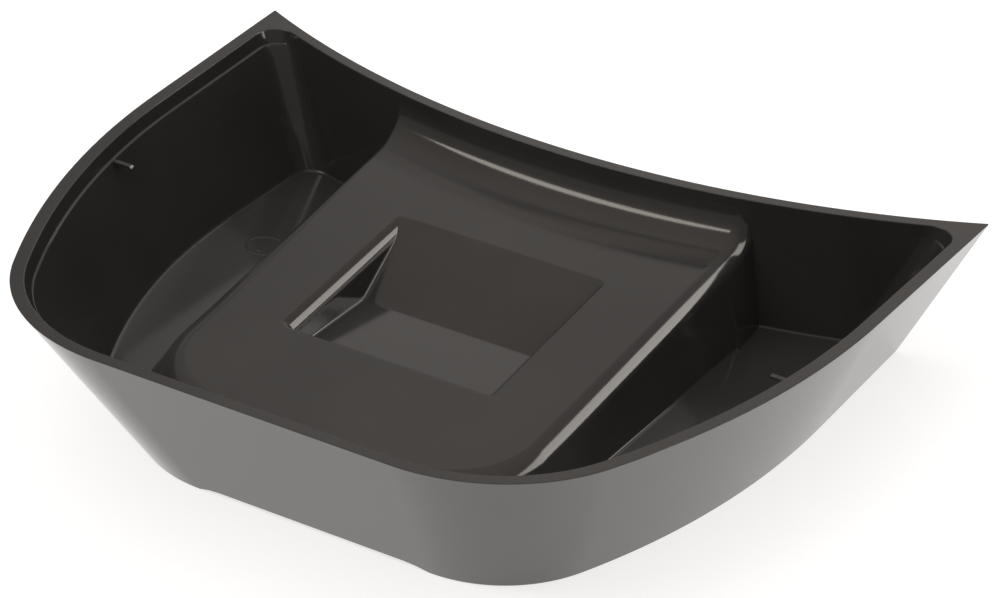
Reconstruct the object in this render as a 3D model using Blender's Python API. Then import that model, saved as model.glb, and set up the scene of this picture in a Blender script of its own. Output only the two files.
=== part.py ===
"""Crescent-backed prospecting tray: one black moulded tray, modelled as its walls, floors, platform,
recess and stacking ribs, with thin parting gaps between them. Metres, +Z up, front towards -Y."""

import math

import bmesh
import bpy
from mathutils import Vector

# Overall shape. Distances along Y are measured forward from the line through the two horn tips.
TRAY_DEPTH = 0.1504
RIM_HEIGHT_AT_HORNS = 0.0323
RIM_RISE = 0.086
WALL = 0.003
HORN_OUTER_RADIUS = 0.0006
HORN_INNER_RADIUS = 0.005
LEDGE_DROP = 0.0032
LEDGE_WIDTH = 0.0006

# Each outline: front edge, half length of its straight, corner arc, side arc, and the rear arc's radius.
RIM_OUTLINE = {
    "front": TRAY_DEPTH,
    "straight": 0.0339,
    "corner_radius": 0.0395,
    "corner_angle": 64.3,
    "side_radius": 0.1920,
    "side_angle": 23.8,
    "rear_radius": 0.1980,
}
BASE_OUTLINE = {
    "front": 0.1259,
    "straight": 0.0276,
    "corner_radius": 0.0299,
    "corner_angle": 61.0,
    "side_radius": 0.1566,
    "side_angle": 25.8,
    "rear_radius": 0.2005,
}
REAR_CENTRE = 0.1764

# Bay floors rise towards the front.
FLOOR_AT_HORNS = 0.0010
FLOOR_RISE = 0.125
SHELL = 0.0022

# Raised platform.
DECK_HEIGHT = 0.0241
PLATFORM_HALF_WIDTH = 0.0445
PLATFORM_FRONT = 0.1289
PLATFORM_CORNER = 0.0226
RISER_DRAFT = 0.11
COVE_RADIUS = 0.0075
COVE_WALL_RADIUS = 0.20165
COVE_UNDERSIDE_REACH = 0.007

# Recess in the platform.
RECESS_HALF_WIDTH = 0.0249
RECESS_REAR = 0.0497
RECESS_FRONT = 0.0967
RECESS_RAMP_FOOT = 0.0697
RECESS_FLOOR = 0.0158
RECESS_DRAFT = 0.001

# Stacking ribs on the side walls.
RIB_Y = 0.0762
RIB_REACH = 0.0052
RIB_DROP = 0.0115
RIB_THICKNESS = 0.0012

GAP = 0.0003
HORN_TIP_SETBACK = 0.00032
MIDDLE = (TRAY_DEPTH + HORN_TIP_SETBACK) / 2

# Points along each stretch of an outline.
FRONT_STEPS = 3
CORNER_STEPS = 10
SIDE_STEPS = 8
STRAIGHT_STEPS = 3
HORN_STEPS = 5
REAR_STEPS = 12
ARC_STEPS = 8

PLASTIC_COLOUR = (0.045, 0.042, 0.040, 1.0)
PLASTIC_ROUGHNESS = 0.32


def clear_scene():
    for obj in list(bpy.data.objects):
        bpy.data.objects.remove(obj, do_unlink=True)


def plastic(name):
    material = bpy.data.materials.new(name)
    material.use_nodes = True
    shader = material.node_tree.nodes["Principled BSDF"]
    shader.inputs["Base Color"].default_value = PLASTIC_COLOUR
    shader.inputs["Roughness"].default_value = PLASTIC_ROUGHNESS
    shader.inputs["Metallic"].default_value = 0.0
    return material


def placed(point):
    """A point measured from the horn line, moved so that the tray is centred on the origin."""
    return Vector((point[0], point[1] + MIDDLE, point[2]))


def make_object(name, points, faces):
    mesh = bpy.data.meshes.new(name)
    mesh.from_pydata([placed(p) for p in points], [], faces)
    shape = bmesh.new()
    shape.from_mesh(mesh)
    bmesh.ops.recalc_face_normals(shape, faces=shape.faces)
    shape.to_mesh(mesh)
    shape.free()
    mesh.materials.append(plastic(name))
    obj = bpy.data.objects.new(name, mesh)
    bpy.context.scene.collection.objects.link(obj)
    return obj


def end_faces(start, count, fan):
    """The face that closes a sweep; a fan of triangles keeps two twisted ends parallel."""
    if fan:
        return [(start, start + i, start + i + 1) for i in range(1, count - 1)]
    return [tuple(range(start, start + count))]


def sweep(name, sections, fan=False):
    """A closed solid through a row of sections with the same number of points."""
    count = len(sections[0])
    points = [p for section in sections for p in section]
    faces = end_faces(0, count, fan) + end_faces((len(sections) - 1) * count, count, fan)
    for row in range(len(sections) - 1):
        start = row * count
        for i in range(count):
            j = (i + 1) % count
            faces.append((start + i, start + j, start + count + j, start + count + i))
    return make_object(name, points, faces)


def cut(obj, cutter, operation="DIFFERENCE"):
    """Boolean with a helper that isn't part of the tray."""
    cutter.hide_render = True
    cutter.display_type = "WIRE"
    modifier = obj.modifiers.new("Boolean", "BOOLEAN")
    modifier.operation = operation
    modifier.object = cutter


def blend(a, b, amount):
    return tuple(x + (y - x) * amount for x, y in zip(a, b))


def arc(centre, radius, start, end, steps):
    """Points on an arc in plan, both ends included; angles in radians from +X."""
    angles = [start + (end - start) * i / steps for i in range(steps + 1)]
    return [(centre[0] + radius * math.cos(a), centre[1] + radius * math.sin(a)) for a in angles]


def half_outline(shape, inset, horn_radius):
    """The right half of an outline, set in by inset: front centre, corner, side, horn, rear centre."""
    front = -shape["front"]
    corner_turn = math.radians(shape["corner_angle"])
    heading = corner_turn + math.radians(shape["side_angle"])
    corner_centre = (shape["straight"], front + shape["corner_radius"])
    side_offset = shape["side_radius"] - shape["corner_radius"]
    side_centre = (
        corner_centre[0] - side_offset * math.sin(corner_turn),
        corner_centre[1] + side_offset * math.cos(corner_turn),
    )
    quarter = math.pi / 2
    points = [(shape["straight"] * i / FRONT_STEPS, front + inset) for i in range(FRONT_STEPS)]
    corner = arc(corner_centre, shape["corner_radius"] - inset, -quarter, corner_turn - quarter, CORNER_STEPS)
    side = arc(side_centre, shape["side_radius"] - inset, corner_turn - quarter, heading - quarter, SIDE_STEPS)
    points += corner[:-1] + side
    # The horn's centre lies where the side and the rear arc, both set in further, meet.
    depth = inset + horn_radius
    along = (math.cos(heading), math.sin(heading))
    start = arc(side_centre, shape["side_radius"] - depth, heading - quarter, 0, 1)[0]
    to_start = (start[0], start[1] - REAR_CENTRE)
    half_b = to_start[0] * along[0] + to_start[1] * along[1]
    reach = shape["rear_radius"] + depth
    distance = -half_b - math.sqrt(half_b**2 - (to_start[0] ** 2 + to_start[1] ** 2 - reach**2))
    centre = (start[0] + along[0] * distance, start[1] + along[1] * distance)
    to_rear = math.atan2(REAR_CENTRE - centre[1], -centre[0])
    horn = arc(centre, horn_radius, heading - quarter, to_rear, HORN_STEPS)
    side_end = side[-1]
    straight = [blend(side_end, horn[0], i / STRAIGHT_STEPS) for i in range(1, STRAIGHT_STEPS)]
    rear = arc((0, REAR_CENTRE), shape["rear_radius"] + inset, to_rear + math.pi, 1.5 * math.pi, REAR_STEPS)
    return points + straight + horn + [(rear[i][0], rear[i][1]) for i in range(1, REAR_STEPS + 1)]


def full_outline(shape, inset, horn_radius):
    """The whole outline from the front centre, anticlockwise seen from above."""
    right = half_outline(shape, inset, horn_radius)
    left = [(-x, y) for x, y in reversed(right[1:-1])]
    return right + left


def rim_height(y):
    return RIM_HEIGHT_AT_HORNS - RIM_RISE * y


def floor_height(y):
    return FLOOR_AT_HORNS - FLOOR_RISE * y


class Wall:
    """The sloping wall's surface at one inset, from the base (level 0) to the rim (level 1)."""

    def __init__(self, inset, horn_radius):
        base_horn = horn_radius
        self.base = [(x, y, 0.0) for x, y in full_outline(BASE_OUTLINE, inset, base_horn)]
        rim = full_outline(RIM_OUTLINE, inset, horn_radius)
        self.rim = [(x, y, rim_height(y)) for x, y in rim]
        self.count = len(self.rim)

    def at(self, place, level):
        """The point at a place along the outline, which may lie between two stations."""
        low = math.floor(place)
        part = place - low
        ends = []
        for loop in (self.base, self.rim):
            ends.append(blend(loop[low % self.count], loop[(low + 1) % self.count], part))
        return blend(ends[0], ends[1], level)

    def on_plane(self, place, height_at_horns, rise):
        """The point where the wall meets a plane that rises towards the front."""
        bottom = self.at(place, 0)
        top = self.at(place, 1)
        gap_bottom = height_at_horns - rise * bottom[1] - bottom[2]
        gap_top = height_at_horns - rise * top[1] - top[2]
        return blend(bottom, top, gap_bottom / (gap_bottom - gap_top))


CORNER_START = FRONT_STEPS
SIDE_START = CORNER_START + CORNER_STEPS
HORN_START = SIDE_START + SIDE_STEPS + STRAIGHT_STEPS
REAR_START = HORN_START + HORN_STEPS
REAR_MIDDLE = REAR_START + REAR_STEPS
STATIONS = 2 * REAR_MIDDLE


def build_wall(name, outer, inner, thin, first, last):
    """A stretch of wall between two places, with the ledge inside its rim."""
    places = [first] + list(range(math.floor(first) + 1, math.ceil(last))) + [last]
    sections = []
    for place in places:
        height = inner.at(place, 1)[2]
        ledge = 1 - LEDGE_DROP / height
        sections.append(
            [
                outer.at(place, 0),
                outer.at(place, 1),
                thin.at(place, 1),
                thin.at(place, ledge),
                inner.at(place, ledge),
                inner.at(place, 0),
            ]
        )
    return sweep(name, sections, fan=True)


def build_walls():
    outer = Wall(0, HORN_OUTER_RADIUS)
    inner = Wall(WALL, HORN_INNER_RADIUS)
    thin = Wall(WALL - LEDGE_WIDTH, HORN_INNER_RADIUS)
    side_step = 0.05
    rear_step = 0.05
    corner = SIDE_START
    rear = REAR_START + 1
    build_wall("front_wall", outer, inner, thin, -corner, corner)
    build_wall("right_wall", outer, inner, thin, corner + side_step, rear - rear_step)
    build_wall("rear_wall", outer, inner, thin, rear, STATIONS - rear)
    build_wall("left_wall", outer, inner, thin, STATIONS - rear + rear_step, STATIONS - corner - side_step)


def platform_corner():
    """The platform's front right corner in plan: each point with its outward direction."""
    centre = (PLATFORM_HALF_WIDTH - PLATFORM_CORNER, -PLATFORM_FRONT + PLATFORM_CORNER)
    stations = []
    for out in arc((0, 0), 1, 0, -math.pi / 2, ARC_STEPS):
        stations.append((centre[0] + PLATFORM_CORNER * out[0], centre[1] + PLATFORM_CORNER * out[1], out))
    return stations


def rear_inner_y(x, radius):
    return REAR_CENTRE - math.sqrt(radius**2 - x**2)


def draft_at(y):
    """How far the risers stand out at the underside of the floor."""
    return RISER_DRAFT * (DECK_HEIGHT - floor_height(y) + SHELL)


def build_floor(name, outline):
    """A floor plate of shell thickness under a plan outline given as (top, bottom) point pairs."""
    tops = [top for top, _ in outline]
    bottoms = [bottom for _, bottom in outline]
    return sweep(name, [bottoms, tops])


def wall_floor_pair(clear, place):
    top = clear.on_plane(place, FLOOR_AT_HORNS, FLOOR_RISE)
    bottom = clear.on_plane(place, FLOOR_AT_HORNS - SHELL, FLOOR_RISE)
    return top, bottom


def riser_floor_pair(x, y):
    top = (x, y, floor_height(y))
    return top, (x, y, floor_height(y) - SHELL)


def mirrored(pairs):
    return [((-t[0], t[1], t[2]), (-b[0], b[1], b[2])) for t, b in reversed(pairs)]


def build_floors():
    clear = Wall(WALL + GAP, HORN_INNER_RADIUS)
    channel_y = -PLATFORM_FRONT + PLATFORM_CORNER
    # Bay: the wall from the channel line round the horn to the platform's side.
    places = [SIDE_START + i * 0.25 for i in range(4 * (REAR_MIDDLE - SIDE_START))]
    wall = [wall_floor_pair(clear, place) for place in places]
    side_x = PLATFORM_HALF_WIDTH + draft_at(0) + GAP
    bay = [pair for pair in wall if pair[0][1] > channel_y + GAP and pair[1][0] > side_x + GAP]
    rear_end = rear_inner_y(side_x, BASE_OUTLINE["rear_radius"] + WALL + 2 * GAP)
    front_end = bay[0][0][1]
    bay.append(riser_floor_pair(PLATFORM_HALF_WIDTH + draft_at(rear_end) + GAP, rear_end))
    bay.append(riser_floor_pair(PLATFORM_HALF_WIDTH + draft_at(front_end) + GAP, front_end))
    build_floor("right_bay_floor", bay)
    build_floor("left_bay_floor", mirrored(bay))
    # Channel: the front stretch of wall, and the platform's front with its corners.
    places = [i * 0.5 for i in range(2 * (SIDE_START + SIDE_STEPS))]
    front = [wall_floor_pair(clear, place) for place in places]
    front = [pair for pair in front if pair[0][1] < front_end - GAP]
    inner = []
    for x, y, out in platform_corner():
        outset = draft_at(y) + GAP
        inner.append(riser_floor_pair(x + out[0] * outset, y + out[1] * outset))
    inner[0] = riser_floor_pair(inner[0][0][0], front_end - GAP)
    right = front + inner
    build_floor("front_channel_floor", mirrored(right[1:]) + right)


def build_deck():
    front = [(x, y) for x, y, _ in platform_corner()]
    radius = COVE_WALL_RADIUS + COVE_RADIUS + GAP
    steps = [PLATFORM_HALF_WIDTH * (1 - i / REAR_STEPS) for i in range(REAR_STEPS + 1)]
    rear = [(x, rear_inner_y(x, radius)) for x in steps]
    right = list(reversed(front)) + rear
    outline = right + [(-x, y) for x, y in reversed(right[1:-1])]
    levels = (DECK_HEIGHT - SHELL, DECK_HEIGHT)
    deck = sweep("platform_deck", [[(x, y, z) for x, y in outline] for z in levels])
    half = RECESS_HALF_WIDTH + SHELL + GAP
    low_y = -RECESS_FRONT - SHELL - GAP
    high_y = -RECESS_REAR + SHELL + GAP
    corners = [(-half, low_y), (half, low_y), (half, high_y), (-half, high_y)]
    opening = sweep("recess_opening", [[(x, y, z) for x, y in corners] for z in (0, 2 * DECK_HEIGHT)])
    cut(deck, opening)


def cove_section(x):
    """The curved strip between deck and rear wall, of shell thickness, as a section at one X."""
    wall_y = rear_inner_y(x, COVE_WALL_RADIUS)
    centre = (wall_y - COVE_RADIUS, DECK_HEIGHT + COVE_RADIUS)
    outer_end = math.asin(COVE_UNDERSIDE_REACH / (COVE_RADIUS + SHELL))
    section = []
    for i in range(ARC_STEPS + 1):
        turn = math.pi / 2 * i / ARC_STEPS
        section.append((x, centre[0] + COVE_RADIUS * math.sin(turn), centre[1] - COVE_RADIUS * math.cos(turn)))
    for i in range(ARC_STEPS, -1, -1):
        turn = outer_end * i / ARC_STEPS
        reach = COVE_RADIUS + SHELL
        section.append((x, centre[0] + reach * math.sin(turn), centre[1] - reach * math.cos(turn)))
    return section


def build_cove():
    steps = 2 * REAR_STEPS
    xs = [PLATFORM_HALF_WIDTH * (1 - 2 * i / steps) for i in range(steps + 1)]
    sweep("platform_rear_cove", [cove_section(x) for x in xs])


def riser_section(x, y, out_x, out_y):
    """A riser's section where its outline passes (x, y) at deck height, facing (out_x, out_y)."""
    top = DECK_HEIGHT - SHELL - GAP
    foot = floor_height(y) - SHELL
    section = []
    for depth, z in ((0, foot), (0, top), (SHELL, top), (SHELL, foot)):
        out = RISER_DRAFT * (DECK_HEIGHT - z) - depth
        section.append((x + out_x * out, y + out_y * out, z))
    return section


def build_risers():
    rear = rear_inner_y(PLATFORM_HALF_WIDTH, BASE_OUTLINE["rear_radius"] + WALL + GAP) - GAP
    corner_y = -PLATFORM_FRONT + PLATFORM_CORNER
    side = [riser_section(PLATFORM_HALF_WIDTH, y, 1, 0) for y in (rear, corner_y + GAP)]
    mirror = [[(-x, y, z) for x, y, z in section] for section in side]
    sweep("platform_right_riser", side)
    sweep("platform_left_riser", [section[::-1] for section in mirror])
    front = [riser_section(x, y, *out) for x, y, out in platform_corner()]
    left = [[(-x, y, z) for x, y, z in section] for section in reversed(front)]
    sweep("platform_front_riser", front + left)


def box_between(name, half_top, rear_top, front_top, half_foot, rear_foot, front_foot, heights):
    """A six-sided solid: a level top, and a foot whose front and rear edges have their own heights."""
    top, foot_rear, foot_front = heights
    low = [
        (-half_foot, front_foot, foot_front),
        (half_foot, front_foot, foot_front),
        (half_foot, rear_foot, foot_rear),
        (-half_foot, rear_foot, foot_rear),
    ]
    high = [
        (-half_top, front_top, top),
        (half_top, front_top, top),
        (half_top, rear_top, top),
        (-half_top, rear_top, top),
    ]
    return sweep(name, [low, high])


def build_recess():
    floor_front = RECESS_FLOOR + FLOOR_RISE * (RECESS_FRONT - RECESS_RAMP_FOOT)
    well = box_between(
        "recess_well",
        RECESS_HALF_WIDTH + SHELL,
        -RECESS_REAR + SHELL,
        -RECESS_FRONT - SHELL,
        RECESS_HALF_WIDTH - RECESS_DRAFT + SHELL,
        -RECESS_RAMP_FOOT + RECESS_DRAFT,
        -RECESS_FRONT + RECESS_DRAFT - SHELL,
        (DECK_HEIGHT, RECESS_FLOOR - SHELL, floor_front - SHELL),
    )
    # The hollow runs on above the deck along the same slopes.
    above = 1.2
    depth = DECK_HEIGHT - RECESS_FLOOR
    ramp = (RECESS_RAMP_FOOT - RECESS_REAR) * above
    top = RECESS_FLOOR + depth * above
    half = RECESS_HALF_WIDTH - RECESS_DRAFT
    hollow = box_between(
        "recess_hollow",
        half + RECESS_DRAFT * above,
        -RECESS_RAMP_FOOT + ramp,
        -RECESS_FRONT + RECESS_DRAFT * (1 - above),
        half,
        -RECESS_RAMP_FOOT,
        -RECESS_FRONT + RECESS_DRAFT,
        (top, RECESS_FLOOR, floor_front),
    )
    cut(well, hollow)


def inner_wall_x(wall, y, z):
    """Half the width between the side walls at one place and height."""
    previous = None
    for place in range(SIDE_START, HORN_START):
        point = wall.on_plane(place, z, 0)
        if previous and previous[1] <= y <= point[1]:
            amount = (y - previous[1]) / (point[1] - previous[1])
            return blend(previous, point, amount)[0]
        previous = point
    return previous[0]


def build_ribs():
    clear = Wall(WALL + GAP, HORN_INNER_RADIUS)
    top = rim_height(-RIB_Y) - LEDGE_DROP
    foot = top - RIB_DROP
    half = RIB_THICKNESS / 2
    top_x = inner_wall_x(clear, -RIB_Y - half, top)
    foot_x = inner_wall_x(clear, -RIB_Y - half, foot)
    corners = [(top_x, top), (top_x - RIB_REACH, top), (foot_x - GAP, foot), (foot_x, foot)]
    sections = [[(x, -RIB_Y + side, z) for x, z in corners] for side in (half, -half)]
    mirror = [[(-x, y, z) for x, y, z in reversed(section)] for section in sections]
    sweep("right_stacking_rib", sections)
    sweep("left_stacking_rib", mirror)


def main():
    clear_scene()
    build_walls()
    build_floors()
    build_deck()
    build_cove()
    build_risers()
    build_recess()
    build_ribs()


main()
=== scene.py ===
"""Crescent-backed prospecting tray: one moulded shell with two ribs, its plastic, light and camera."""

import math

import bmesh
import bpy
from mathutils import Matrix, Vector


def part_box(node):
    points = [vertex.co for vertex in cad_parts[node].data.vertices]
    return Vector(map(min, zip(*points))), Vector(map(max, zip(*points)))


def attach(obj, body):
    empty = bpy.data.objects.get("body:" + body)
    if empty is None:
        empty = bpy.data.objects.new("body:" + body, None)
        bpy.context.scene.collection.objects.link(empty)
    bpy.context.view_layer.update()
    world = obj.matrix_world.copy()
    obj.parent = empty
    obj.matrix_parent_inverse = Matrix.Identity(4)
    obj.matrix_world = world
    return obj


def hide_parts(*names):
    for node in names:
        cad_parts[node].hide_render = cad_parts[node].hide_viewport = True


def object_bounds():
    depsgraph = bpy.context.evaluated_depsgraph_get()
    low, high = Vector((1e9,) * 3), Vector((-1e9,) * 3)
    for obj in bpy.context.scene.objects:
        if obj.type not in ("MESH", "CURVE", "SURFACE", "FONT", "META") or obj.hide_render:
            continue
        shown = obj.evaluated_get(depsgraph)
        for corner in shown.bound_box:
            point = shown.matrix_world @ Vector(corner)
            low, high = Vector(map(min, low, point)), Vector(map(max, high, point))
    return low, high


# ---------------------------------------------------------------- sizes: lengths in metres, slopes as ratios

# Lengths along Y are measured from the line through the horn tips; placed() moves them to the shared frame.
RIM_OUTLINE = {
    "front": 0.1504,
    "straight": 0.0339,
    "corner_radius": 0.0395,
    "corner_angle": 64.3,
    "side_radius": 0.1920,
    "side_angle": 23.8,
    "rear_radius": 0.1980,
}
BASE_OUTLINE = {
    "front": 0.1259,
    "straight": 0.0276,
    "corner_radius": 0.0299,
    "corner_angle": 61.0,
    "side_radius": 0.1566,
    "side_angle": 25.8,
    "rear_radius": 0.2005,
}
REAR_CENTRE = 0.1770
RIM_AT_HORNS = 0.0323
RIM_RISE = 0.086
WALL = 0.0030
REAR_WALL = 0.0029
LEDGE_DROP = 0.0032
LEDGE_WIDTH = 0.0001
LEDGE_HEIGHT = 0.0003
BAND_LEAN = 0.00025
RIM_EDGE = 0.0002
INNER_EDGE = 0.0002
BASE_EDGE = 0.0002
HORN_TIP = 0.0003
HORN_INNER = 0.0050

FLOOR_AT_HORNS = 0.0010
FLOOR_RISE = 0.125
FLOOR_COVE = 0.0007
SHELL = 0.0022

DECK_HALF = 0.04465
DECK_FRONT = 0.1289
DECK_CORNER = 0.0226
# The platform's rounded edge grows from its rear radius to its front radius between two places along Y.
EDGE_LEFT_REAR = 0.0012
EDGE_RIGHT_REAR = 0.0043
EDGE_FRONT = 0.0053
EDGE_GROWS_FROM = 0.030
EDGE_GROWS_TO = 0.100
RISER_FOOT = 0.0034
RISER_COVE = 0.0008
REAR_COVE = 0.0084
REAR_COVE_WALL = 0.2010
LEAD_IN = 0.0060
LEAD_RISE = 0.00034
LEAD_TURN = 6.5
PLATFORM_OVERRUN = 0.006

# Each recess wall: its place at the foot of the rounded edge, its lean below that, and the edge's radius.
RECESS_LEFT = (-0.0234, 0.0006, 0.0033)
RECESS_RIGHT = (0.02396, -0.0004, 0.0012)
RECESS_FRONT = (-0.09585, 0.0003, 0.0012)
RECESS_REAR = 0.0495
RECESS_REAR_EDGE = 0.0060
RECESS_RAMP_FOOT = 0.0694
RECESS_FLOOR = 0.0154
RECESS_FLOOR_RISE = 0.124
RECESS_CORNER = 0.0010
RECESS_COVE = 0.0006

RING_CENTRE = (-0.0589, -0.0529)
RING_RADIUS = 0.0043
RING_WIDTH = 0.0006
RING_HEIGHT = 0.00012
DOT_OFFSET = 0.0026
DOT_RADIUS = 0.0006
DOT_HEIGHT = 0.00015

RIB_Y = 0.0762
RIB_REACH = 0.0050
RIB_DROP = 0.0015
RIB_THICKNESS = 0.0011
RIB_TIP_BEVEL = 0.0004
RIB_FOOT_BEVEL = 0.0006

# How finely each curve is divided.
FRONT_STEPS = 2
CORNER_STEPS = 26
SIDE_STEPS = 20
STRAIGHT_STEPS = 3
HORN_STEPS = 8
REAR_STEPS = 48
SIDE_START = FRONT_STEPS + CORNER_STEPS
HORN_START = SIDE_START + SIDE_STEPS + STRAIGHT_STEPS
SIDE_STATIONS = 8
EDGE_STEPS = 10
RISER_COVE_STEPS = 3
COVE_TURNS = (*range(-12, 0, 2), LEAD_TURN, 12, 15, *range(18, 91, 6))
COVE_COLUMNS = 28
SMALL_EDGE_STEPS = 3
FLOOR_COVE_STEPS = 5
DECK_CORNER_STEPS = 20
UNDER_CORNER_STEPS = 12
UNDER_REAR_STEPS = 6
RECESS_COVE_STEPS = 4
RECESS_EDGE_STEPS = 12
RECESS_CORNER_STEPS = 6
RING_STEPS = 64
DOT_STEPS = 20
# The dot's outline runs this many radians, and its ends are joined.
DOT_SWEEP = 6.0
# Faces that meet at more than this many degrees keep a crisp edge.
SHARP_ANGLE = 32

# How far a solid runs past the faces that it cuts or joins.
CAVITY_OVERRUN = 0.004
RECESS_OVERRUN = 0.003
UNDER_OVERRUN = 0.002
PLATFORM_BURIED = 0.001
RECESS_BLOCK_BURIED = 0.0005
RIB_BURIED = 0.0005
# The foot of the hollow under the floors, as a share of the wall's height.
UNDER_LEVEL = -0.06

# ---------------------------------------------------------------- looks, light and camera

PLASTIC_DARK = (0.0225, 0.0211, 0.0204, 1)
PLASTIC_LIGHT = (0.0275, 0.0259, 0.0250, 1)
DUST = (0.10, 0.095, 0.085, 1)
PLASTIC_ROUGHNESS = (0.09, 0.14)
PLASTIC_IOR = 1.5
PLASTIC_SPECULAR_TINT = (1, 0.93, 0.885, 1)
BODY = "root"

FLOOR_HALF = 3.0
FLOOR_GAP = 0.0002
FLOOR_DARK = (0.33, 0.33, 0.328, 1)
FLOOR_LIGHT = (0.37, 0.37, 0.368, 1)
FLOOR_ROUGHNESS = 0.9
FLOOR_GLOW = (1.01, 1, 0.99, 1)
FLOOR_GLOW_STRENGTH = 0.74

ROOM_TINT = (1.02, 0.985, 0.96)
# The room's brightness against the sine of the elevation, behind the tray and on the camera's side.
BACKDROP = (
    (0, 0.12),
    (0.12, 0.15),
    (0.26, 0.68),
    (0.38, 0.68),
    (0.43, 0.54),
    (0.49, 0.54),
    (0.54, 0.6),
    (0.575, 0.5),
    (0.6, 0.52),
    (0.615, 0.62),
    (0.635, 0.6),
    (0.66, 0.36),
    (1, 0.5),
)
FOREGROUND = ((0, 0.28), (0.5, 0.28), (0.9, 0.5), (1, 0.5))
# The backdrop fades in along Y, away from the camera, and along X, from its left edge.
BACKDROP_FADE_Y = (0, 0.45)
BACKDROP_FADE_X = (-0.52, -0.445)
LAMP_DISTANCE = 1.5

CAMERA_PLACE = (0.33324, -0.62370, 0.46483)
CAMERA_AZIMUTH = math.radians(30.177)
CAMERA_ELEVATION = math.radians(34.32)
# The lens and the sensor's width, in millimetres.
CAMERA_LENS = 134.5
CAMERA_SENSOR = 36.0

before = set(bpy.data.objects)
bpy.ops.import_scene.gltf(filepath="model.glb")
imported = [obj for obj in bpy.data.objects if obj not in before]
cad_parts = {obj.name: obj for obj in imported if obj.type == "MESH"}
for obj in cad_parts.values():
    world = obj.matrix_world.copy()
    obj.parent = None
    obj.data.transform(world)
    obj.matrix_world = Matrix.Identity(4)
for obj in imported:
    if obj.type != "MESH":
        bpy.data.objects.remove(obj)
CAD_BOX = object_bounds()
DECK_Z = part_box("platform_deck")[1][2]
MIDDLE = RIM_OUTLINE["front"] + CAD_BOX[0][1]


# ---------------------------------------------------------------- mesh helpers


def placed(point):
    return Vector((point[0], point[1] + MIDDLE, point[2]))


def blend(a, b, amount):
    return tuple(x + (y - x) * amount for x, y in zip(a, b))


def bezier(a, b, c, steps):
    """Points of the curve from a to c that leans towards b, both ends included."""
    return [blend(blend(a, b, i / steps), blend(b, c, i / steps), i / steps) for i in range(steps + 1)]


def arc(centre, radius, start, end, steps):
    angles = [start + (end - start) * i / steps for i in range(steps + 1)]
    return [(centre[0] + radius * math.cos(a), centre[1] + radius * math.sin(a)) for a in angles]


def mesh_object(name, points, faces):
    mesh = bpy.data.meshes.new(name)
    mesh.from_pydata([placed(p) for p in points], [], faces)
    shape = bmesh.new()
    shape.from_mesh(mesh)
    bmesh.ops.remove_doubles(shape, verts=shape.verts, dist=1e-7)
    bmesh.ops.recalc_face_normals(shape, faces=shape.faces)
    shape.to_mesh(mesh)
    shape.free()
    obj = bpy.data.objects.new(name, mesh)
    bpy.context.scene.collection.objects.link(obj)
    return obj


def loft(name, loops):
    """A closed solid through closed loops of the same length."""
    count = len(loops[0])
    points = [p for loop in loops for p in loop]
    faces = [tuple(range(count)), tuple(range(len(points) - count, len(points)))]
    for row in range(len(loops) - 1):
        start = row * count
        for i in range(count):
            j = (i + 1) % count
            faces.append((start + i, start + j, start + count + j, start + count + i))
    return mesh_object(name, points, faces)


def boolean(obj, other, operation):
    """Applies a Boolean at once and removes the other solid."""
    modifier = obj.modifiers.new("Boolean", "BOOLEAN")
    modifier.operation = operation
    modifier.solver = "EXACT"
    modifier.object = other
    bpy.context.view_layer.update()
    graph = bpy.context.evaluated_depsgraph_get()
    mesh = bpy.data.meshes.new_from_object(obj.evaluated_get(graph))
    obj.modifiers.clear()
    obj.data = mesh
    bpy.data.objects.remove(other, do_unlink=True)


# ---------------------------------------------------------------- outlines and walls


def half_outline(shape, inset, rear_inset, horn_radius):
    """The right half of an outline, set in: front centre, corner, side, horn, rear centre."""
    front = -shape["front"]
    corner_turn = math.radians(shape["corner_angle"])
    heading = corner_turn + math.radians(shape["side_angle"])
    corner_centre = (shape["straight"], front + shape["corner_radius"])
    side_offset = shape["side_radius"] - shape["corner_radius"]
    side_centre = (
        corner_centre[0] - side_offset * math.sin(corner_turn),
        corner_centre[1] + side_offset * math.cos(corner_turn),
    )
    quarter = math.pi / 2
    points = [(shape["straight"] * i / FRONT_STEPS, front + inset) for i in range(FRONT_STEPS)]
    corner_radius = shape["corner_radius"] - inset
    side_radius = shape["side_radius"] - inset
    corner = arc(corner_centre, corner_radius, -quarter, corner_turn - quarter, CORNER_STEPS)
    side = arc(side_centre, side_radius, corner_turn - quarter, heading - quarter, SIDE_STEPS)
    # The horn's centre lies where the side and the rear arc, both set in further, meet.
    depth = inset + horn_radius
    along = (math.cos(heading), math.sin(heading))
    start = arc(side_centre, shape["side_radius"] - depth, heading - quarter, 0, 1)[0]
    to_start = (start[0], start[1] - REAR_CENTRE)
    half_b = to_start[0] * along[0] + to_start[1] * along[1]
    reach = shape["rear_radius"] + rear_inset + horn_radius
    distance = -half_b - math.sqrt(half_b**2 - (to_start[0] ** 2 + to_start[1] ** 2 - reach**2))
    centre = (start[0] + along[0] * distance, start[1] + along[1] * distance)
    to_rear = math.atan2(REAR_CENTRE - centre[1], -centre[0])
    horn = arc(centre, horn_radius, heading - quarter, to_rear, HORN_STEPS)
    straight = [blend(side[-1], horn[0], i / STRAIGHT_STEPS) for i in range(1, STRAIGHT_STEPS)]
    rear_radius = shape["rear_radius"] + rear_inset
    rear = arc((0, REAR_CENTRE), rear_radius, to_rear + math.pi, 1.5 * math.pi, REAR_STEPS)
    return points + corner[:-1] + side + straight + horn + rear[1:]


def full_outline(shape, inset, rear_inset, horn_radius):
    right = half_outline(shape, inset, rear_inset, horn_radius)
    return right + [(-x, y) for x, y in reversed(right[1:-1])]


def rim_height(y):
    return RIM_AT_HORNS - RIM_RISE * y


def floor_height(y):
    return FLOOR_AT_HORNS - FLOOR_RISE * y


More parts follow.
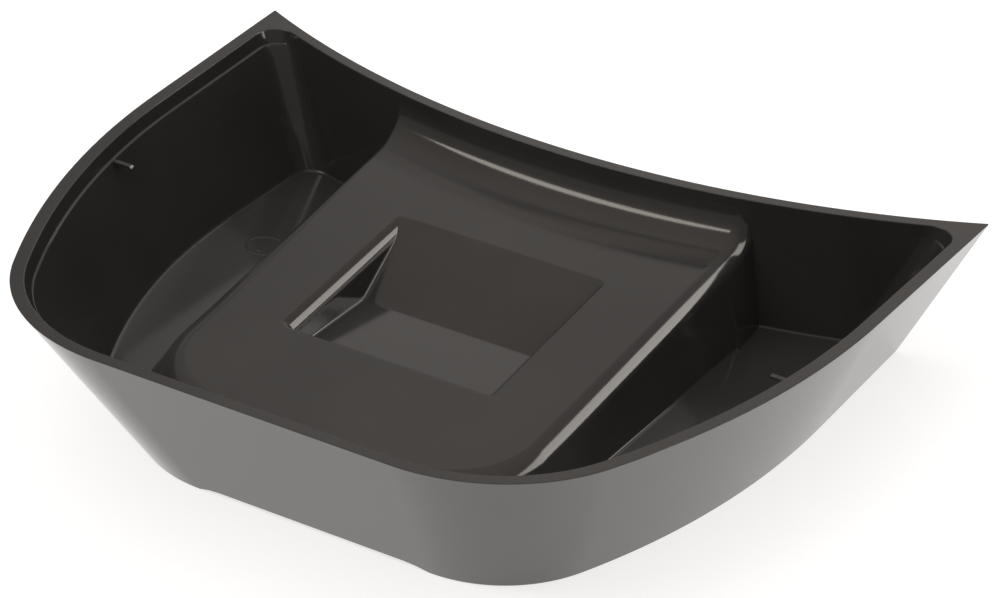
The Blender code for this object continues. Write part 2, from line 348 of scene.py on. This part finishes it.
class Wall:
    """The sloping wall's surface at one inset: level 0 is the base plane and level 1 the rim plane."""

    def __init__(self, inset, rear_inset, horn_radius):
        self.base = [(x, y, 0.0) for x, y in full_outline(BASE_OUTLINE, inset, rear_inset, horn_radius)]
        rim = full_outline(RIM_OUTLINE, inset, rear_inset, horn_radius)
        self.rim = [(x, y, rim_height(y)) for x, y in rim]

    def at(self, level):
        return [blend(a, b, level) for a, b in zip(self.base, self.rim)]

    def below_rim(self, drop):
        return [blend(a, b, 1 - drop / b[2]) for a, b in zip(self.base, self.rim)]

    def above_base(self, rise):
        return [blend(a, b, rise / b[2]) for a, b in zip(self.base, self.rim)]

    def on_floor(self, lift=0.0):
        """Where the wall meets the plane that lies a given height above the bay floors."""
        loop = []
        for a, b in zip(self.base, self.rim):
            low = floor_height(a[1]) + lift - a[2]
            high = floor_height(b[1]) + lift - b[2]
            loop.append(blend(a, b, low / (low - high)))
        return loop


def quarter_round(radius, steps, start=0.0):
    """How far a rounded edge has drawn in and how far it lies below, from its outer side to its top."""
    turns = [start + (math.pi / 2 - start) * i / steps for i in range(steps + 1)]
    return [(radius * (1 - math.cos(turn)), radius * (1 - math.sin(turn))) for turn in turns]


def outer_solid():
    """The tray's outside, with rounded lower and upper edges."""
    loops = []
    for inset, rise in reversed(quarter_round(BASE_EDGE, SMALL_EDGE_STEPS)):
        loops.append(Wall(inset, inset, HORN_TIP - inset).above_base(rise))
    for inset, drop in quarter_round(RIM_EDGE, SMALL_EDGE_STEPS):
        loops.append(Wall(inset, inset, HORN_TIP - inset).below_rim(drop))
    return loft("tray_shell", loops)


def cavity():
    """The space inside the walls: floor, small cove, walls, ledge, upper band and rounded rim edge."""
    side = WALL + LEDGE_WIDTH
    wall = Wall(side, REAR_WALL, HORN_INNER)
    corner = wall.on_floor()
    inward = Wall(side + FLOOR_COVE, REAR_WALL + FLOOR_COVE, HORN_INNER - FLOOR_COVE).on_floor()
    upward = wall.on_floor(FLOOR_COVE)
    coves = [bezier(a, b, c, FLOOR_COVE_STEPS) for a, b, c in zip(inward, corner, upward)]
    loops = [list(loop) for loop in zip(*coves)]
    loops.append(wall.below_rim(LEDGE_DROP))
    loops.append(Wall(WALL - BAND_LEAN, REAR_WALL, HORN_INNER).below_rim(LEDGE_DROP - LEDGE_HEIGHT))
    for flare, drop in quarter_round(INNER_EDGE, SMALL_EDGE_STEPS):
        loops.append(Wall(WALL - flare, REAR_WALL - flare, HORN_INNER + flare).below_rim(drop))
    loops.append([(x, y, z + CAVITY_OVERRUN) for x, y, z in loops[-1]])
    return loft("cavity", loops)


# ---------------------------------------------------------------- platform


def rear_wall_y(x):
    """The inner face of the rear wall at the height where the platform's cove meets it."""
    return REAR_CENTRE - math.sqrt(REAR_COVE_WALL**2 - x**2)


def cove_start(x):
    """Where the cove leaves the deck."""
    return rear_wall_y(x) - REAR_COVE * (1 - math.sin(math.radians(LEAD_TURN))) - LEAD_IN


def cove_point(x, turn, depth):
    """A point below the cove's surface; negative turns lie on its gentle start, 90 on the rear wall."""
    centre_y = rear_wall_y(x) - REAR_COVE
    if turn < 0:
        before = math.degrees(turn) / COVE_TURNS[0]
        return (x, cove_start(x) + LEAD_IN * (1 - before), DECK_Z + LEAD_RISE * (1 - before) ** 2 - depth)
    centre_z = DECK_Z + LEAD_RISE + REAR_COVE * math.cos(math.radians(LEAD_TURN))
    reach = REAR_COVE + depth
    return (x, centre_y + reach * math.sin(turn), centre_z - reach * math.cos(turn))


def edge_radius(side, y):
    """The radius of the platform's rounded edge; side is 1 on the right and -1 on the left."""
    rear = EDGE_RIGHT_REAR if side > 0 else EDGE_LEFT_REAR
    share = (-y - EDGE_GROWS_FROM) / (EDGE_GROWS_TO - EDGE_GROWS_FROM)
    return rear + (EDGE_FRONT - rear) * min(1.0, max(0.0, share))


def deck_stations():
    """The platform's right edge in plan, from the rear to the front centre, with outward normals."""
    rear = cove_start(DECK_HALF)
    front = -DECK_FRONT + DECK_CORNER
    stations = []
    for i in range(SIDE_STATIONS):
        stations.append(((DECK_HALF, rear + (front - rear) * i / SIDE_STATIONS), (1, 0)))
    centre_x = DECK_HALF - DECK_CORNER
    for out in arc((0, 0), 1, 0, -math.pi / 2, DECK_CORNER_STEPS):
        stations.append(((centre_x + DECK_CORNER * out[0], front + DECK_CORNER * out[1]), out))
    stations.append(((centre_x / 2, -DECK_FRONT), (0, -1)))
    return stations


def riser_turn(radius, drop):
    """The turn at which the rounded edge meets the straight riser, whose foot lies drop below the deck."""
    across = RISER_FOOT + radius
    down = radius - drop
    return math.atan2(down, across) + math.acos(radius / math.hypot(across, down))


def edge_section(point, out, radius):
    """From under the floor up the riser and over the rounded edge, at one place on the platform's edge."""
    x, y = point
    floor = floor_height(y)

    def at(away, z):
        return (x + out[0] * away, y + out[1] * away, z)

    rounded = [
        at(-flare, DECK_Z - drop)
        for flare, drop in quarter_round(radius, EDGE_STEPS, riser_turn(radius, DECK_Z - floor))
    ]
    foot = at(RISER_FOOT, floor)
    up_riser = blend(foot, rounded[0], RISER_COVE / (DECK_Z - floor))
    section = [at(RISER_FOOT + RISER_COVE, floor - PLATFORM_BURIED)]
    section += bezier(at(RISER_FOOT + RISER_COVE, floor), foot, up_riser, RISER_COVE_STEPS)
    return section + rounded


def cove_section(turn, side):
    """The same section where the edge climbs the cove; side is 1 on the right and -1 on the left."""
    angle = math.radians(turn)
    share = (turn - COVE_TURNS[0]) / (90 - COVE_TURNS[0])
    y = cove_start(DECK_HALF)
    radius = edge_radius(side, y)
    floor = floor_height(y)
    low_y = y + (LEAD_IN + REAR_COVE + PLATFORM_OVERRUN) * min(1.0, 2 * share)
    buried = floor_height(low_y) - PLATFORM_BURIED
    low_z = buried + (DECK_Z + REAR_COVE - buried) * max(0.0, 2 * share - 1)
    start = (side * (DECK_HALF + (RISER_FOOT + RISER_COVE) * (1 - share)), low_y, low_z)
    rounded = [
        cove_point(side * (DECK_HALF - flare), angle, drop)
        for flare, drop in quarter_round(radius, EDGE_STEPS, riser_turn(radius, DECK_Z - floor))
    ]
    count = RISER_COVE_STEPS + 2
    return [blend(start, rounded[0], i / count) for i in range(count)] + rounded


def edge_sections(side):
    """All sections of one half of the platform's edge, from the rear wall to the front centre."""
    sections = [cove_section(turn, side) for turn in reversed(COVE_TURNS[1:])]
    for (x, y), (out_x, out_y) in deck_stations():
        sections.append(edge_section((side * x, y), (side * out_x, out_y), edge_radius(side, y)))
    return sections


def platform():
    """The raised platform: rounded edge strip, flat deck, cove up the rear wall, and a closed underside."""
    sections = edge_sections(1) + edge_sections(-1)[::-1]
    count = len(sections[0])
    points = [p for section in sections for p in section]
    faces = []
    for row in range(len(sections) - 1):
        for i in range(count - 1):
            a = row * count + i
            faces.append((a, a + 1, a + count + 1, a + count))
    rows = len(sections)
    steps = len(COVE_TURNS)
    # The cove's face between its two ends, then the deck.
    rear = cove_start(DECK_HALF)
    left = -DECK_HALF + edge_radius(-1, rear)
    right = DECK_HALF - edge_radius(1, rear)
    grid = []
    for k in range(steps):
        angle = math.radians(COVE_TURNS[k])
        line = [(rows - steps + k) * count + count - 1]
        for c in range(1, COVE_COLUMNS):
            points.append(cove_point(left + (right - left) * c / COVE_COLUMNS, angle, 0))
            line.append(len(points) - 1)
        line.append((steps - 1 - k) * count + count - 1)
        grid.append(line)
    for k in range(steps - 1):
        for c in range(COVE_COLUMNS):
            faces.append((grid[k][c], grid[k][c + 1], grid[k + 1][c + 1], grid[k + 1][c]))
    top = [row * count + count - 1 for row in range(steps - 1, rows - steps + 1)]
    faces.append(tuple(top + grid[0][1:-1]))
    # Underside: strips across the cove's foot, the flat part, and the end inside the rear wall.
    bottom = [row * count for row in range(rows)]
    for k in range(steps - 1):
        faces.append((bottom[k], bottom[k + 1], bottom[rows - 2 - k], bottom[rows - 1 - k]))
    faces.append(tuple(bottom[steps - 1 : rows - steps + 1]))
    last = [(rows - 1) * count + i for i in reversed(range(count))]
    faces.append(tuple(list(range(count)) + grid[-1][1:-1][::-1] + last))
    return mesh_object("platform", points, faces)


def middle_of_walls():
    """Everything inside the middle of the walls' thickness, to trim what runs into them."""
    wall = Wall(WALL / 2, REAR_WALL / 2, HORN_INNER)
    return loft("middle_of_walls", [wall.at(0), wall.at(1)])


def under_platform():
    """The hollow under the platform."""
    half = DECK_HALF - SHELL
    corner = DECK_CORNER - SHELL
    front = -DECK_FRONT + DECK_CORNER
    turn = arc((0, 0), corner, -math.pi / 2, 0, UNDER_CORNER_STEPS)
    right = [(half - corner + x, front + y) for x, y in turn]
    right.append((half, rear_wall_y(half) - REAR_COVE))
    rear = [half * (1 - i / UNDER_REAR_STEPS) for i in range(1, UNDER_REAR_STEPS + 1)]
    right += [(x, rear_wall_y(x) - REAR_COVE) for x in rear]
    outline = right + [(-x, y) for x, y in reversed(right[:-1])]
    low = [(x, y, -UNDER_OVERRUN) for x, y in outline]
    high = [(x, y, DECK_Z - SHELL) for x, y in outline]
    return loft("under_platform", [low, high])


def under_floors():
    """The hollow under the bay floors."""
    wall = Wall(WALL, REAR_WALL, HORN_INNER)
    return loft("under_floors", [wall.at(UNDER_LEVEL), wall.on_floor(-SHELL)])


# ---------------------------------------------------------------- recess


def edge_flare(radius, below):
    """How far a rounded edge has drawn back at a depth below the deck."""
    if below >= radius:
        return 0.0
    return radius - math.sqrt(radius**2 - (radius - below) ** 2)


def recess_slope():
    """How far the ramp runs along Y for each unit that it drops."""
    return (RECESS_RAMP_FOOT - RECESS_REAR) / (DECK_Z - RECESS_FLOOR)


def ramp_y(below):
    """The ramp's place along Y at a depth below the deck, with the rounded edge at its top."""
    angle = math.atan(1 / recess_slope())
    if below >= RECESS_REAR_EDGE * (1 - math.cos(angle)):
        return -RECESS_REAR - recess_slope() * below
    run = math.sqrt(RECESS_REAR_EDGE**2 - (RECESS_REAR_EDGE - below) ** 2)
    return -RECESS_REAR + RECESS_REAR_EDGE * math.tan(angle / 2) - run


def recess_loop(below, height, shrink=0.0):
    """The recess's outline at a depth below the deck, set in by shrink; height gives Z from Y."""
    depth = DECK_Z - RECESS_FLOOR
    sides = []
    for place, lean, radius in (RECESS_LEFT, RECESS_RIGHT, RECESS_FRONT):
        leaned = lean * max(0.0, below - radius) / (depth - radius)
        flare = edge_flare(radius, below)
        inward = 1 if lean > 0 else -1
        sides.append((place + leaned + inward * (shrink - flare), flare))
    (left, left_flare), (right, right_flare), (front, front_flare) = sides
    rear = ramp_y(below) - shrink
    r = RECESS_CORNER
    corners = [
        (right, front, -1, 1, r + right_flare, r + front_flare, -90),
        (right, rear, -1, -1, r + right_flare, r, 0),
        (left, rear, 1, -1, r + left_flare, r, 90),
        (left, front, 1, 1, r + left_flare, r + front_flare, 180),
    ]
    loop = []
    for x, y, to_x, to_y, across, along, start in corners:
        quarter = arc((0, 0), 1, math.radians(start), math.radians(start + 90), RECESS_CORNER_STEPS)
        for cos, sin in quarter:
            loop.append((x + across * (to_x + cos), y + along * (to_y + sin)))
    return [(x, y, height(y)) for x, y in loop]


def recess():
    """The recess as a solid: a floor that climbs to the front, a rear ramp and rounded upper edges."""

    def lifted(rise):
        return lambda y: RECESS_FLOOR - RECESS_FLOOR_RISE * (y + RECESS_RAMP_FOOT) + rise

    depth = DECK_Z - RECESS_FLOOR
    loops = []
    for shrink, rise in reversed(quarter_round(RECESS_COVE, RECESS_COVE_STEPS)):
        loops.append(recess_loop(depth - rise, lifted(rise), shrink))
    widest_edge = RECESS_LEFT[2]
    for flare, below in quarter_round(widest_edge, RECESS_EDGE_STEPS):
        loops.append(recess_loop(below, lambda y, z=DECK_Z - below: z))
    loops.append([(x, y, z + RECESS_OVERRUN) for x, y, z in loops[-1]])
    return loft("recess", loops)


def recess_block():
    """The shell's material around the recess."""

    def under(y):
        return RECESS_FLOOR - RECESS_FLOOR_RISE * (y + RECESS_RAMP_FOOT) - SHELL

    low = recess_loop(DECK_Z - RECESS_FLOOR, under, -SHELL)
    high = recess_loop(RECESS_BLOCK_BURIED, lambda y: DECK_Z - RECESS_BLOCK_BURIED, -SHELL)
    return loft("recess_block", [low, high])


# ---------------------------------------------------------------- small moulded details


def rib(name, side):
    """A thin three-cornered fin on a side wall, its top at the ledge."""
    wall = Wall(WALL + LEDGE_WIDTH - RIB_BURIED, REAR_WALL, HORN_INNER)
    top = rim_height(-RIB_Y) - LEDGE_DROP
    foot = top - RIB_DROP

    def wall_x(z):
        best = []
        for a, b in zip(wall.base[SIDE_START:HORN_START], wall.rim[SIDE_START:HORN_START]):
            p = blend(a, b, z / b[2])
            best.append((abs(p[1] + RIB_Y), p[0]))
        return min(best)[1]

    inner = wall_x(top) - RIB_REACH
    profile = [(wall_x(top), top), (inner + RIB_TIP_BEVEL, top), (inner, top - RIB_TIP_BEVEL)]
    profile += [(wall_x(foot) - RIB_FOOT_BEVEL, foot + RIB_FOOT_BEVEL), (wall_x(foot), foot)]
    half = RIB_THICKNESS / 2
    loops = [[(side * x, -RIB_Y + y, z) for x, z in profile] for y in (-half, half)]
    return loft(name, loops)


def floor_ring(name, centre, radius, width, height):
    """A low ring moulded on a bay floor."""
    sections = []
    for i in range(RING_STEPS):
        turn = 2 * math.pi * i / RING_STEPS
        section = []
        for across, up in ((-1, -0.3), (-0.55, 0.7), (0, 1), (0.55, 0.7), (1, -0.3)):
            r = radius + width / 2 * across
            x = centre[0] + r * math.cos(turn)
            y = centre[1] + r * math.sin(turn)
            section.append((x, y, floor_height(y) + height * up))
        sections.append(section)
    count = len(sections[0])
    points = [p for section in sections for p in section]
    faces = []
    for row in range(RING_STEPS):
        for i in range(count):
            j = (i + 1) % count
            a = row * count
            b = (row + 1) % RING_STEPS * count
            faces.append((a + i, a + j, b + j, b + i))
    return mesh_object(name, points, faces)


def floor_dot(name, centre, radius, height):
    """A low rounded dot on a bay floor."""
    loops = []
    for reach, up in ((1, -0.5), (1, 0.1), (0.8, 0.7), (0.45, 0.95), (0.12, 1)):
        loop = arc(centre, reach * radius, 0, DOT_SWEEP, DOT_STEPS)
        loops.append([(x, y, floor_height(y) + height * up) for x, y in loop])
    return loft(name, loops)


# ---------------------------------------------------------------- plastic


def node(tree, kind, **settings):
    made = tree.nodes.new(kind)
    for key, value in settings.items():
        setattr(made, key, value)
    return made


def noise(tree, source, scale, detail, roughness=0.5):
    made = node(tree, "ShaderNodeTexNoise")
    made.inputs["Scale"].default_value = scale
    made.inputs["Detail"].default_value = detail
    made.inputs["Roughness"].default_value = roughness
    tree.links.new(source, made.inputs["Vector"])
    return made.outputs["Fac"]


def remap(tree, source, low, high, to_low, to_high):
    made = node(tree, "ShaderNodeMapRange")
    values = (low, high, to_low, to_high)
    for key, value in zip(("From Min", "From Max", "To Min", "To Max"), values):
        made.inputs[key].default_value = value
    tree.links.new(source, made.inputs["Value"])
    return made.outputs["Result"]


def maths(tree, operation, a, b):
    made = node(tree, "ShaderNodeMath", operation=operation)
    for socket, value in zip(made.inputs, (a, b)):
        if isinstance(value, (int, float)):
            socket.default_value = value
        else:
            tree.links.new(value, socket)
    return made.outputs[0]


def mix_colour(tree, factor, a, b):
    made = node(tree, "ShaderNodeMix", data_type="RGBA")
    # Inputs 6 and 7 are the two colours, and output 2 is the mixed one.
    sockets = (made.inputs["Factor"], made.inputs[6], made.inputs[7])
    for socket, value in zip(sockets, (factor, a, b)):
        if isinstance(value, (int, float, tuple)):
            socket.default_value = value
        else:
            tree.links.new(value, socket)
    return made.outputs[2]


def bump(tree, height, strength, distance, under=None):
    made = node(tree, "ShaderNodeBump")
    made.inputs["Strength"].default_value = strength
    made.inputs["Distance"].default_value = distance
    tree.links.new(height, made.inputs["Height"])
    if under is not None:
        tree.links.new(under, made.inputs["Normal"])
    return made.outputs["Normal"]


def plastic():
    """Glossy charcoal plastic: faint flow mottling, fine grain, a little dust and hairline scuffs."""
    material = bpy.data.materials.new("charcoal_plastic")
    material.use_nodes = True
    tree = material.node_tree
    shader = tree.nodes["Principled BSDF"]
    place = node(tree, "ShaderNodeTexCoord").outputs["Object"]
    cloud = noise(tree, place, 28, 4)
    mottle = remap(tree, cloud, 0.35, 0.65, 0, 1)
    tone = mix_colour(tree, mottle, PLASTIC_DARK, PLASTIC_LIGHT)
    dust = remap(tree, noise(tree, place, 900, 3, 0.7), 0.74, 0.84, 0, 0.25)
    colour = mix_colour(tree, dust, tone, DUST)
    tree.links.new(colour, shader.inputs["Base Color"])
    # Hairline scuffs: noise stretched along one direction, kept only at its crests and only in some places.
    stretch = node(tree, "ShaderNodeMapping")
    stretch.inputs["Scale"].default_value = (1, 0.03, 1)
    stretch.inputs["Rotation"].default_value = (0, 0, 0.5)
    tree.links.new(place, stretch.inputs["Vector"])
    scratch = remap(tree, noise(tree, stretch.outputs["Vector"], 1600, 1), 0.68, 0.76, 0, 1)
    patch = remap(tree, noise(tree, place, 18, 2), 0.5, 0.65, 0, 1)
    scuff = maths(tree, "MULTIPLY", scratch, patch)
    gloss = remap(tree, cloud, 0.3, 0.7, *PLASTIC_ROUGHNESS)
    worn = maths(tree, "MULTIPLY", scuff, 0.06)
    dusty = maths(tree, "MULTIPLY", dust, 0.3)
    rough = maths(tree, "ADD", maths(tree, "ADD", gloss, worn), dusty)
    tree.links.new(rough, shader.inputs["Roughness"])
    shader.inputs["IOR"].default_value = PLASTIC_IOR
    shader.inputs["Specular Tint"].default_value = PLASTIC_SPECULAR_TINT
    wave = bump(tree, noise(tree, place, 60, 2), 0.08, 0.0001)
    tree.links.new(bump(tree, noise(tree, place, 5200, 2), 0.03, 0.00002, wave), shader.inputs["Normal"])
    return material


def finish_piece(obj, material):
    """Smooth shading with crisp edges, the plastic, and its place on the frame."""
    obj.data.materials.clear()
    obj.data.materials.append(material)
    for polygon in obj.data.polygons:
        polygon.use_smooth = True
        polygon.material_index = 0
    obj.data.set_sharp_from_angle(angle=math.radians(SHARP_ANGLE))
    weighted = obj.modifiers.new("Normals", "WEIGHTED_NORMAL")
    weighted.keep_sharp = True
    weighted.weight = 100
    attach(obj, BODY)


def build_tray():
    shell = outer_solid()
    boolean(shell, cavity(), "DIFFERENCE")
    raised = platform()
    boolean(raised, middle_of_walls(), "INTERSECT")
    boolean(shell, raised, "UNION")
    boolean(shell, under_floors(), "DIFFERENCE")
    boolean(shell, under_platform(), "DIFFERENCE")
    boolean(shell, recess_block(), "UNION")
    boolean(shell, recess(), "DIFFERENCE")
    material = plastic()
    finish_piece(shell, material)
    ribs = {"left": rib("left_rib", -1), "right": rib("right_rib", 1)}
    for name, obj in ribs.items():
        finish_piece(obj, material)
        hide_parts(name + "_stacking_rib")
    kept = ("left_stacking_rib", "right_stacking_rib")
    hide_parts(*[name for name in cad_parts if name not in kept])
    ring = floor_ring("left_floor_ring", RING_CENTRE, RING_RADIUS, RING_WIDTH, RING_HEIGHT)
    finish_piece(ring, material)
    dot_centre = (RING_CENTRE[0], RING_CENTRE[1] - DOT_OFFSET)
    dot = floor_dot("left_floor_dot", dot_centre, DOT_RADIUS, DOT_HEIGHT)
    finish_piece(dot, material)


# ---------------------------------------------------------------- floor, light and camera


def floor():
    mesh = bpy.data.meshes.new("floor")
    corners = [(x * FLOOR_HALF, y * FLOOR_HALF, -FLOOR_GAP) for x, y in ((-1, -1), (1, -1), (1, 1), (-1, 1))]
    mesh.from_pydata(corners, [], [(0, 1, 2, 3)])
    obj = bpy.data.objects.new("floor", mesh)
    bpy.context.scene.collection.objects.link(obj)
    material = bpy.data.materials.new("pale_floor")
    material.use_nodes = True
    tree = material.node_tree
    shader = tree.nodes["Principled BSDF"]
    place = node(tree, "ShaderNodeTexCoord").outputs["Object"]
    tone = mix_colour(tree, noise(tree, place, 6, 2), FLOOR_DARK, FLOOR_LIGHT)
    tree.links.new(tone, shader.inputs["Base Color"])
    shader.inputs["Roughness"].default_value = FLOOR_ROUGHNESS
    # The sheet glows evenly, so the tray leaves hardly any shadow on it.
    shader.inputs["Emission Color"].default_value = FLOOR_GLOW
    shader.inputs["Emission Strength"].default_value = FLOOR_GLOW_STRENGTH
    mesh.materials.append(material)


def softbox(name, direction, across, distance, size, radiance, colour, shape="RECTANGLE"):
    """A lamp in a direction from the tray, facing it; its longer side runs along across."""
    data = bpy.data.lights.new(name, "AREA")
    data.shape = shape
    data.size, data.size_y = size
    area = size[0] * size[1] * (math.pi / 4 if shape == "ELLIPSE" else 1)
    data.energy = 4 * area * radiance
    data.color = colour
    obj = bpy.data.objects.new(name, data)
    bpy.context.scene.collection.objects.link(obj)
    away = Vector(direction).normalized()
    side = Vector(across)
    side = (side - away * side.dot(away)).normalized()
    turn = Matrix((side, away.cross(side), away)).transposed().to_4x4()
    obj.matrix_world = Matrix.Translation(away * distance) @ turn
    obj.visible_camera = False
    return obj


def colour_ramp(tree, source, stops):
    """A tinted grey that follows the given (place, brightness) stops."""
    ramp = node(tree, "ShaderNodeValToRGB")
    elements = ramp.color_ramp.elements
    for place, _ in stops[1:-1]:
        elements.new(place)
    for element, (_, value) in zip(elements, stops):
        element.color = tuple(value * c for c in ROOM_TINT) + (1,)
    tree.links.new(source, ramp.inputs["Fac"])
    return ramp.outputs["Color"]


def room():
    """A backdrop behind the tray, dark at its foot and paler above, and a dimmer room before it."""
    world = bpy.data.worlds.new("studio")
    bpy.context.scene.world = world
    world.use_nodes = True
    tree = world.node_tree
    place = node(tree, "ShaderNodeTexCoord").outputs["Generated"]
    axes = node(tree, "ShaderNodeSeparateXYZ")
    tree.links.new(place, axes.inputs[0])
    behind = colour_ramp(tree, axes.outputs["Z"], BACKDROP)
    before = colour_ramp(tree, axes.outputs["Z"], FOREGROUND)
    along = remap(tree, axes.outputs["Y"], *BACKDROP_FADE_Y, 0, 1)
    across = remap(tree, axes.outputs["X"], *BACKDROP_FADE_X, 0, 1)
    side = maths(tree, "MINIMUM", along, across)
    tree.links.new(mix_colour(tree, side, before, behind), tree.nodes["Background"].inputs["Color"])


def light():
    overhead = softbox(
        "overhead",
        direction=(0.05, -0.1, 1),
        across=(1, 0, 0),
        distance=1.6,
        size=(2.6, 2.6),
        radiance=0.95,
        colour=ROOM_TINT,
    )
    overhead.visible_glossy = False
    softbox(
        "front_softbox",
        direction=(-0.355, -0.566, 0.742),
        across=(0.932, -0.091, 0.35),
        distance=LAMP_DISTANCE,
        size=(1.18, 0.3),
        radiance=4.8,
        colour=(1, 1, 0.93),
        shape="ELLIPSE",
    )
    right = softbox(
        "right_softbox",
        direction=(0.745, 0.521, 0.418),
        across=(0.609, -0.793, 0),
        distance=LAMP_DISTANCE,
        size=(1.38, 0.855),
        radiance=3.6,
        colour=(1, 1, 0.97),
    )
    right.visible_diffuse = False
    room()


def camera():
    data = bpy.data.cameras.new("camera")
    data.lens = CAMERA_LENS
    data.sensor_width = CAMERA_SENSOR
    obj = bpy.data.objects.new("camera", data)
    bpy.context.scene.collection.objects.link(obj)
    sin, cos = math.sin(CAMERA_AZIMUTH), math.cos(CAMERA_AZIMUTH)
    level = math.cos(CAMERA_ELEVATION)
    right = Vector((cos, sin, 0))
    back = Vector((sin * level, -cos * level, math.sin(CAMERA_ELEVATION)))
    up = back.cross(right)
    turn = Matrix((right, up, back)).transposed().to_4x4()
    obj.matrix_world = Matrix.Translation(placed(CAMERA_PLACE)) @ turn
    bpy.context.scene.camera = obj


def main():
    build_tray()
    floor()
    light()
    camera()
    bpy.context.scene.view_settings.view_transform = "Standard"


main()
